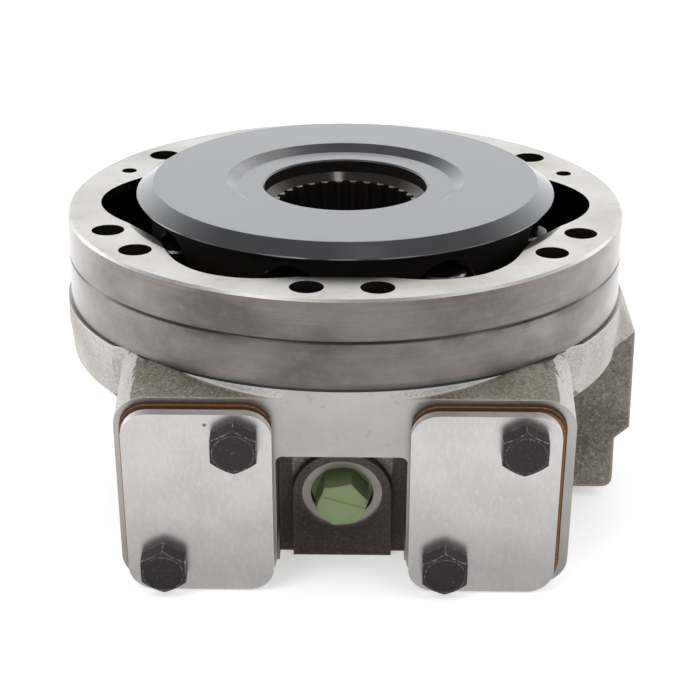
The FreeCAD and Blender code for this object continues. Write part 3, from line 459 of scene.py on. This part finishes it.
def black_oxide():
    material, tree, place = new_material("black_oxide_steel")
    grain = add(tree, "ShaderNodeTexNoise", {"Vector": place, "Scale": per_metre(0.9), "Detail": 3})
    specks = add(tree, "ShaderNodeMapRange", {"Value": grain, "From Min": 0.66, "From Max": 0.76,
                                              "To Max": 0.7})
    rubs = add(tree, "ShaderNodeTexNoise", {"Vector": place, "Scale": per_metre(1.4), "Detail": 4})
    rubs = add(tree, "ShaderNodeMapRange", {"Value": rubs, "From Min": 0.44, "From Max": 0.64,
                                            "To Min": 0.08})
    # Rubbed edges: wear, and a painted highlight of the light those edges catch.
    wear_and_highlight = worn_and_highlit_edges(tree, width_mm=0.7, start=0.006, full=0.06)
    rubbed_and_highlit = add(tree, "ShaderNodeMath", {0: wear_and_highlight, 1: rubs}, operation="MULTIPLY")
    colour = add(tree, "ShaderNodeMix", {0: grain, 6: "#242122", 7: "#403c3d"}, data_type="RGBA")
    colour = add(tree, "ShaderNodeMix", {0: specks, 6: colour, 7: "#77716f"}, data_type="RGBA")
    colour = add(tree, "ShaderNodeMix", {0: rubbed_and_highlit, 6: colour, 7: "#a9a5a3"}, data_type="RGBA")
    relief = add(tree, "ShaderNodeBump", {"Height": grain, "Distance": 0.04 * MM})
    gloss = add(tree, "ShaderNodeMapRange", {"Value": grain, "To Min": 0.34, "To Max": 0.54})
    return close_material(material, Base_Color=colour, Metallic=0.7, Roughness=gloss, Normal=relief)


def gasket_sheet(name, light, dark):
    material, tree, place = new_material(name)
    laid = add(tree, "ShaderNodeMapping", {"Vector": place, "Scale": (1, 1, 4)})
    fibres = add(tree, "ShaderNodeTexNoise", {"Vector": laid, "Scale": per_metre(1), "Detail": 4})
    share = add(tree, "ShaderNodeMapRange", {"Value": fibres, "From Min": 0.3, "From Max": 0.7})
    colour = add(tree, "ShaderNodeMix", {0: share, 6: light, 7: dark}, data_type="RGBA")
    relief = add(tree, "ShaderNodeBump", {"Height": fibres, "Distance": 0.03 * MM})
    return close_material(material, Base_Color=colour, Roughness=0.6, Normal=relief)


def polyethylene():
    material, tree, place = new_material("green_polyethylene")
    cloud = add(tree, "ShaderNodeTexNoise", {"Vector": place, "Scale": per_metre(6), "Detail": 3})
    colour = add(tree, "ShaderNodeMix", {0: cloud, 6: "#829663", 7: "#9bad7c"}, data_type="RGBA")
    start, end = MOULD_LINE
    across_line = (end - start).normalized().cross(port_out)
    offset = add(tree, "ShaderNodeVectorMath", {0: place, 1: start},
                 operation="SUBTRACT").outputs["Vector"]
    beside = add(tree, "ShaderNodeVectorMath", {0: offset, 1: across_line},
                 operation="DOT_PRODUCT").outputs["Value"]
    beside = add(tree, "ShaderNodeMath", {0: beside}, operation="ABSOLUTE")
    line = add(tree, "ShaderNodeMapRange", {"Value": beside, "From Min": 0.8 * MM,
                                            "From Max": 0.1 * MM, "To Max": 0.6})
    colour = add(tree, "ShaderNodeMix", {0: line, 6: colour, 7: "#5f7443"}, data_type="RGBA")
    height = add(tree, "ShaderNodeMath", {0: cloud, 1: line}, operation="SUBTRACT")
    relief = add(tree, "ShaderNodeBump", {"Height": height, "Distance": 0.05 * MM})
    return close_material(material, Base_Color=colour, Roughness=0.38, Normal=relief,
                          Subsurface_Weight=0.3, Subsurface_Scale=2 * MM)


SATIN_PLATE = satin_plate("satin_steel_plate", "#d1cecd", "#c7c4c2", 0.26)
SAWN_EDGE = satin_plate("sawn_plate_edge", "#e4e2df", "#d2cfcb", 0.5)
BLACK_OXIDE = black_oxide()
TAN_SHEET = gasket_sheet("tan_gasket_sheet", "#91612b", "#653e1b")
# The dark sheets are painted shade for the groove between the pad and the cover.
SHADE_SHEET = gasket_sheet("painted_shade_gasket_sheet", "#38221a", "#20110d")
GREEN_PLASTIC = polyethylene()
print("small finishes made")

# %% [markdown]
# ## Finishes of the hidden pieces
# The pistons, rollers, bushes, seals and the distributor are inside, but they show when the motor
# is opened or turned, so they are finished too: each is one plain metal or rubber with its own
# fine marks. One function serves them, because only their numbers differ.

# %% Inner finishes


def inner_finish(name, light, dark, metallic, roughness, mark_mm, depth_mm):
    """Two colours, how metallic and how rough the piece is, and the size and depth of its marks."""
    material, tree, place = new_material(name)
    marks = add(tree, "ShaderNodeTexNoise", {"Vector": place, "Scale": per_metre(mark_mm), "Detail": 4})
    colour = add(tree, "ShaderNodeMix", {0: marks, 6: light, 7: dark}, data_type="RGBA")
    gloss = add(tree, "ShaderNodeMapRange", {"Value": marks, "From Min": 0.3, "From Max": 0.7,
                                             "To Min": roughness, "To Max": roughness + 0.12})
    relief = add(tree, "ShaderNodeBump", {"Height": marks, "Distance": depth_mm * MM})
    return close_material(material, Base_Color=colour, Metallic=metallic, Roughness=gloss, Normal=relief)


LAPPED_STEEL = inner_finish("lapped_roller_steel", "#b3b2b0", "#8f8d8b", 1.0, 0.14, 3, 0.002)
PISTON_STEEL = inner_finish("ground_piston_steel", "#5f5d5c", "#474544", 1.0, 0.24, 2, 0.004)
BEARING_BRONZE = inner_finish("bearing_bronze", "#b08a55", "#8a6638", 1.0, 0.3, 2, 0.006)
NITRILE = inner_finish("moulded_nitrile", "#161616", "#222120", 0.0, 0.45, 1.5, 0.01)
LAPPED_IRON = inner_finish("lapped_distributor_iron", "#8d8a86", "#6d6a66", 1.0, 0.28, 4, 0.006)
BLUED_SPRING = inner_finish("blued_spring_steel", "#3c4250", "#2b2f38", 1.0, 0.3, 3, 0.004)
TURNED_COVER = inner_finish("turned_cover_steel", "#6f6b67", "#55514d", 1.0, 0.36, 5, 0.01)
print("inner finishes made")

# %% [markdown]
# ## Dressing the CAD pieces
# A machined piece has several finishes: a ground top, a turned rim, dark holes, whose darkness is
# painted shade. The solid stays as it is, and a test on each face's place and direction picks its
# finish; where two tests pick a face, the later one wins. Painting by hand would work too, but a
# test says where a finish lies.
# The limits of the tests are radii from the motor's axis and places on the port face, both in
# millimetres, angles in degrees, and heights in metres, as the faces have them.

# %% Dressing


def dress(name, main, *others):
    """Gives a CAD piece its main finish, and another to the faces that a test picks."""
    mesh = nodes[name].data
    mesh.materials.clear()
    for material in (main,) + tuple(material for material, test in others):
        mesh.materials.append(material)
    for face in mesh.polygons:
        face.material_index = 0
        for number, (material, test) in enumerate(others, start=1):
            if test(face.center, face.normal):
                face.material_index = number


def from_axis(point):
    return math.hypot(point.x, point.y) / MM


def is_wall(normal):
    return abs(normal.z) < 0.2


print("pieces to dress", len(nodes))

# %% Cam rings
HOLE_CIRCLE = 93.4
CREST_ANGLES = range(30, 390, 60)
HOLE_FROM_CREST = 7.45
HOLE_REACH = 6.3
TRACK_REACH = 94
RIM_START = 103.5
TOP_BEVEL_END = -2 * MM
hole_angles = [math.radians(crest + side) for crest in CREST_ANGLES
               for side in (-HOLE_FROM_CREST, HOLE_FROM_CREST)]
hole_centres = [Vector((math.cos(angle), math.sin(angle))) * HOLE_CIRCLE * MM for angle in hole_angles]


def in_hole(point, normal):
    nearest = min((point.xy - centre).length for centre in hole_centres) / MM
    return is_wall(normal) and nearest < HOLE_REACH


def on_track(point, normal):
    return is_wall(normal) and from_axis(point) < TRACK_REACH and not in_hole(point, normal)


def on_rim(point, normal):
    """The turned outside, with the seam's bevels but without the top bevel, which is ground."""
    return from_axis(point) > RIM_START and (normal.z < 0.5 or point.z < TOP_BEVEL_END)


# The ring's holes take painted shade, and the cam track is painted dark: painted shade and a painted
# reflection.
for ring in ("cam_ring_upper", "cam_ring_lower"):
    dress(ring, GROUND_STEEL, (TURNED_STEEL, on_rim), (CAM_TRACK_PAINTED_DARK, on_track), (PAINTED_SHADE_BLACK, in_hole))
print("rings dressed, with", len(hole_centres), "holes each")

# %% Cylinder block
TOOTH_ROOT = 27.6
LEAD_IN_END = 30.7
LEAD_IN_BOTTOM = -2 * MM
BORE_MOUTH = 31.2
FLARE_RADII = (71.5, 74.2)
FLARE_HEIGHTS = (-34 * MM, 2 * MM)
HUB_REACH = 60
DISC_UNDERSIDE = 4 * MM


def in_lead_in(point, normal):
    return TOOTH_ROOT < from_axis(point) < LEAD_IN_END and 0.2 < normal.z < 0.95 and point.z > LEAD_IN_BOTTOM


def in_bore_mouth(point, normal):
    return from_axis(point) < BORE_MOUTH and is_wall(normal)


def on_tooth_end(point, normal):
    return from_axis(point) < TOOTH_ROOT and normal.z > 0.9


def on_flare(point, normal):
    return (FLARE_RADII[0] < from_axis(point) < FLARE_RADII[1] and abs(normal.z) > 0.1
            and FLARE_HEIGHTS[0] < point.z < FLARE_HEIGHTS[1])


def under_disc(point, normal):
    """The underside of the disc and the wall below it, which take painted shade."""
    return from_axis(point) > HUB_REACH and point.z < DISC_UNDERSIDE and normal.z < 0.1


# The bore's mouth and the disc's underside take painted shade.
dress("cylinder_block", PHOSPHATE, (PAINTED_SHADE_BLACK, in_bore_mouth), (PAINTED_SHADE_BLACK, under_disc),
      (LEAD_IN_STEEL, in_lead_in), (TOOTH_END_GLINT_STEEL, on_tooth_end), (FLARE_STEEL, on_flare))
print("cylinder block dressed")

# %% Port housing and covers
SKIRT_START = 98.5
SKIRT_BOTTOM = -52 * MM
FLANGE_LEVEL = -33.5 * MM
PAD_SIDES = (68, 92)
PAD_DEPTH = 30
RECESS_HALF_WIDTH = 23.3
RECESS_TOP = 15.9
RECESS_DEPTH = 27
PORT_FACE_SKIN = 0.3
SPOT_FACE_CENTRE = -15.6
SPOT_FACE_RADIUS = 14.8
SPOT_FACE_DEPTHS = (20.6, 21.5)


def on_skirt(point, normal):
    """The flange's side, painted lighter than the slopes under it: painted light for the light that reaches
    it.
    """
    return from_axis(point) > SKIRT_START and point.z > SKIRT_BOTTOM and normal.z < 0.6


def on_pad_side(point, normal):
    across, up, out = on_port_face(point)
    outer_side = PAD_SIDES[0] < abs(across) < PAD_SIDES[1] and abs(normal.x) > 0.45
    return outer_side and PORT_FACE_SKIN < -out < PAD_DEPTH


def in_recess(point, normal):
    across, up, out = on_port_face(point)
    return abs(across) < RECESS_HALF_WIDTH and up < RECESS_TOP and PORT_FACE_SKIN < -out < RECESS_DEPTH


def on_milled_plane(point, normal):
    across, up, out = on_port_face(point)
    return abs(out) < 0.05 and normal.dot(port_out) > 0.99


def on_spot_face(point, normal):
    across, up, out = on_port_face(point)
    inside = math.hypot(across, up - SPOT_FACE_CENTRE) < SPOT_FACE_RADIUS
    return inside and SPOT_FACE_DEPTHS[0] < -out < SPOT_FACE_DEPTHS[1]


def on_flange_top(point, normal):
    return normal.z > 0.95 and point.z > FLANGE_LEVEL


def on_plate_edge(point, normal):
    return abs(normal.dot(port_out)) < 0.6


# The flange's side and the pads' outer sides take painted light; the recess takes painted shade, with its
# oil and dust.
dress("port_housing", SAND_CAST_IRON, (LIT_CAST_IRON, on_skirt), (LIT_CAST_IRON, on_pad_side),
      (OILY_AND_SHADED_IRON, in_recess), (MILLED_IRON, on_milled_plane), (SPOT_MILLED_IRON, on_spot_face),
      (MILLED_IRON, on_flange_top))
for side in ("left", "right"):
    dress("port_cover_" + side, SATIN_PLATE, (SAWN_EDGE, on_plate_edge))
print("housing and covers dressed")

# %% Pieces of one finish
plain_finishes = {
    "port_cover_bolts_left": BLACK_OXIDE, "port_cover_bolts_right": BLACK_OXIDE,
    "port_gasket_left": TAN_SHEET, "port_gasket_right": TAN_SHEET,
    "drain_plug": GREEN_PLASTIC, "end_cover": TURNED_COVER, "end_cover_screws": BLACK_OXIDE,
    "locating_pins": LAPPED_STEEL, "distributor": LAPPED_IRON, "distributor_pin": LAPPED_STEEL,
    "distributor_spring": BLUED_SPRING,
}
for name in nodes:
    if "seal" in name or name.startswith("piston_ring"):
        plain_finishes[name] = NITRILE
    elif name.startswith("roller_bush"):
        plain_finishes[name] = BEARING_BRONZE
    elif name.startswith("roller"):
        plain_finishes[name] = LAPPED_STEEL
    elif name.startswith("piston"):
        plain_finishes[name] = PISTON_STEEL
for name, material in plain_finishes.items():
    dress(name, material)
print("dressed", len(plain_finishes), "more pieces")

# %% [markdown]
# ## Layered gaskets
# Each port gasket is a pack of thin sheets, dark brown and tan in turn, whose edges show as fine
# lines above the cover. The tan sheets are the gasket's fibre; the dark sheets are painted shade,
# which stands for the shade in the groove between the pad and the cover. The outline is the CAD
# gasket's own: its mesh is copied once for each sheet and pressed to the sheet's share of the
# thickness, so the port and bolt openings stay where they are. Each row of `SHEETS` gives a sheet's
# start and end as shares of the thickness, counted from the housing, then how far its outer edge
# stands back, and its finish. Only what lies within `EDGE_BAND` of the outline stands back. On the
# inner side, which faces the other port, all sheets stand back by `INNER_EDGE_INSET` more. On the
# outer side of the left gasket they stand back by only `OUTER_LEFT_SHARE` of their row. A point
# belongs to a side when it is within `SIDE_BAND` of it. Lengths are millimetres.

# %% Gaskets
GASKET_THICKNESS = 4.0
EDGE_BAND = 9
SIDE_BAND = 0.6
INNER_EDGE_INSET = 0.5
OUTER_LEFT_SHARE = 0.3
TAN, SHADED = 0, 1
SHEETS = ((0.0, 0.30, 0.0, SHADED), (0.31, 0.45, 0.3, TAN), (0.46, 0.78, 0.65, SHADED),
          (0.79, 1.0, 1.0, TAN))


def layered_gasket(side):
    node = nodes["port_gasket_" + side]
    places = [on_port_face(vertex.co) for vertex in node.data.vertices]
    (left, right), (bottom, top) = [(min(values), max(values)) for values in zip(*places)][:2]
    middle_across, middle_up = (left + right) / 2, (bottom + top) / 2
    half_width, half_height = (right - left) / 2, (top - bottom) / 2
    inner = 1 if side == "left" else -1
    whole = bmesh.new()
    for low, high, inset, finish in SHEETS:
        sheet = bmesh.new()
        sheet.from_mesh(node.data)
        for vertex in sheet.verts:
            across, up, out = on_port_face(vertex.co)
            beside, above = across - middle_across, up - middle_up
            pressed = GASKET_THICKNESS * low + out * (high - low)
            on_edge = max(abs(beside) - half_width, abs(above) - half_height) + EDGE_BAND > 0
            drawn_in = Vector((beside, above)).normalized() * (inset if on_edge else 0)
            if inner * beside > half_width - SIDE_BAND:
                drawn_in.x += inner * INNER_EDGE_INSET
            if side == "left" and -beside > half_width - SIDE_BAND:
                drawn_in.x *= OUTER_LEFT_SHARE
            sideways = Vector((drawn_in.x, 0, 0))
            vertex.co += (port_out * (pressed - out) - port_up * drawn_in.y - sideways) * MM
        for face in sheet.faces:
            face.material_index = finish
        pressed_sheet = bpy.data.meshes.new("pressed_sheet")
        sheet.to_mesh(pressed_sheet)
        sheet.free()
        whole.from_mesh(pressed_sheet)
        bpy.data.meshes.remove(pressed_sheet)
    mesh = bpy.data.meshes.new("layered_gasket_" + side)
    whole.to_mesh(mesh)
    whole.free()
    mesh.materials.append(TAN_SHEET)
    mesh.materials.append(SHADE_SHEET)
    piece = bpy.data.objects.new("layered_gasket_" + side, mesh)
    bpy.context.scene.collection.objects.link(piece)
    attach(piece, "housing")
    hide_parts("port_gasket_" + side)
    return piece


for side in ("left", "right"):
    gasket = layered_gasket(side)
    print(gasket.name, len(gasket.data.polygons), "faces")

# %% [markdown]
# ## The studio
# The floor is pale and takes the motor's shadow. To the camera it glows a little, so that it reads
# white. In reflections it has a glow of its own: brightest behind and beside the motor, dimmer in
# front, where the photographer stands, and dimmest at the motor's foot, which lies in its shadow.
# From below the floor is clear, so that the underside can be looked at. The world is bright at the
# horizon and dimmer overhead, as in a white studio with a dark ceiling: that is what makes flat tops
# shine and slopes stay dark. Five soft lamps aim at the motor. A sixth has a narrow beam that
# reaches only the bore, where it lights the lead-in and leaves the disc as it is.

# %% Floor, world and lamps
FLOOR_LEVEL = -117 * MM
FLOOR_REACH = 4.0
FLOOR_GLOW = 0.45
WORLD_LIGHT = 0.64
MOTOR_MIDDLE = (0, 0, -0.05)
BEAM_SOFTNESS = 0.4


def ray_kinds(tree):
    """Two masks: one for what the camera sees, one for what a shine or a clear body shows."""
    path = add(tree, "ShaderNodeLightPath")
    mirrored = add(tree, "ShaderNodeMath", {0: path.outputs["Is Glossy Ray"],
                                            1: path.outputs["Is Transmission Ray"]}, operation="MAXIMUM")
    return path.outputs["Is Camera Ray"], mirrored


def pale_floor():
    mesh = bpy.data.meshes.new("studio_floor")
    corners = [(x * FLOOR_REACH, y * FLOOR_REACH, 0) for x, y in ((-1, -1), (1, -1), (1, 1), (-1, 1))]
    mesh.from_pydata(corners, [], [(0, 1, 2, 3)])
    floor = bpy.data.objects.new("studio_floor", mesh)
    floor.location.z = FLOOR_LEVEL
    bpy.context.scene.collection.objects.link(floor)
    material, tree, place = new_material("studio_floor_paint")
    sides = add(tree, "ShaderNodeSeparateXYZ", {"Vector": place})
    across, depth = sides.outputs["X"], sides.outputs["Y"]
    backdrop = add(tree, "ShaderNodeMapRange", {"Value": depth, "From Min": -0.30, "From Max": -0.05,
                                                "To Min": 0.85, "To Max": 1.3})
    shadow = add(tree, "ShaderNodeMapRange", {"Value": depth, "From Min": -0.165, "From Max": -0.105,
                                              "To Min": 0.0, "To Max": 0.5})
    beside = add(tree, "ShaderNodeMath", {0: across}, operation="ABSOLUTE")
    beside = add(tree, "ShaderNodeMapRange", {"Value": beside, "From Min": 0.15, "From Max": 0.10})
    behind = add(tree, "ShaderNodeMapRange", {"Value": depth, "From Min": 0.1, "From Max": 0.0})
    for limit in (beside, behind):
        shadow = add(tree, "ShaderNodeMath", {0: shadow, 1: limit}, operation="MULTIPLY")
    shade = add(tree, "ShaderNodeMath", {0: 1.0, 1: shadow}, operation="SUBTRACT")
    reflected = add(tree, "ShaderNodeMath", {0: backdrop, 1: shade}, operation="MULTIPLY")
    to_camera, mirrored = ray_kinds(tree)
    glow = add(tree, "ShaderNodeMath", {0: to_camera, 1: FLOOR_GLOW}, operation="MULTIPLY")
    glow = add(tree, "ShaderNodeMix", {0: mirrored, 2: glow, 3: reflected})
    paint = add(tree, "ShaderNodeMix", {0: mirrored, 6: "#e6e6e6", 7: "#000000"}, data_type="RGBA")
    from_below = add(tree, "ShaderNodeNewGeometry").outputs["Backfacing"]
    solid = add(tree, "ShaderNodeMath", {0: 1.0, 1: from_below}, operation="SUBTRACT")
    floor.data.materials.append(close_material(material, Base_Color=paint, Roughness=0.9, Alpha=solid,
                                               Emission_Color="#ffffff", Emission_Strength=glow))


def studio_world():
    world = bpy.data.worlds.new("studio")
    world.use_nodes = True
    tree = world.node_tree
    tree.nodes.clear()
    direction = add(tree, "ShaderNodeTexCoord").outputs["Generated"]
    rise = add(tree, "ShaderNodeSeparateXYZ", {"Vector": direction}).outputs["Z"]
    backdrop = add(tree, "ShaderNodeMapRange", {"Value": rise, "From Min": 0.33, "From Max": 0.76,
                                                "To Min": 1.08, "To Max": 0.19})
    to_camera, mirrored = ray_kinds(tree)
    level = add(tree, "ShaderNodeMix", {0: mirrored, 2: WORLD_LIGHT, 3: backdrop})
    level = add(tree, "ShaderNodeMix", {0: to_camera, 2: level, 3: 1.0})
    background = add(tree, "ShaderNodeBackground", {"Color": "#fafcff", "Strength": level})
    add(tree, "ShaderNodeOutputWorld", {"Surface": background})
    bpy.context.scene.world = world


def aimed_lamp(name, kind, place, target, power):
    lamp = bpy.data.objects.new(name, bpy.data.lights.new(name, kind))
    lamp.data.energy = power
    lamp.location = place
    lamp.rotation_euler = (Vector(target) - Vector(place)).to_track_quat("-Z", "Y").to_euler()
    bpy.context.scene.collection.objects.link(lamp)
    return lamp.data


def soft_lamp(name, place, size, power):
    aimed_lamp(name, "AREA", place, MOTOR_MIDDLE, power).size = size


def narrow_lamp(name, place, target, beam_degrees, radius, power):
    """A small lamp in a tube, which lights only what lies in its beam."""
    lamp = aimed_lamp(name, "SPOT", place, target, power)
    lamp.spot_size = math.radians(beam_degrees)
    lamp.spot_blend = BEAM_SOFTNESS
    lamp.shadow_soft_size = radius


pale_floor()
studio_world()
soft_lamp("key_lamp", (-0.7, -1.0, 1.1), size=0.9, power=9.5)
soft_lamp("fill_lamp", (0.9, -0.7, 0.8), size=0.9, power=5)
soft_lamp("back_lamp", (0.2, 1.2, 1.2), size=1.2, power=3)
soft_lamp("left_rim_lamp", (-1.2, 0.5, 0.3), size=0.6, power=2.6)
soft_lamp("right_rim_lamp", (1.2, 0.5, 0.3), size=0.6, power=1.8)
narrow_lamp("bore_lamp", (0.118, -0.074, 1.19), (0, 0.01, 0), beam_degrees=6.4, radius=0.15, power=3.2)
bpy.context.scene.view_settings.view_transform = "Standard"
print("studio set with", len(bpy.data.lights), "lamps")
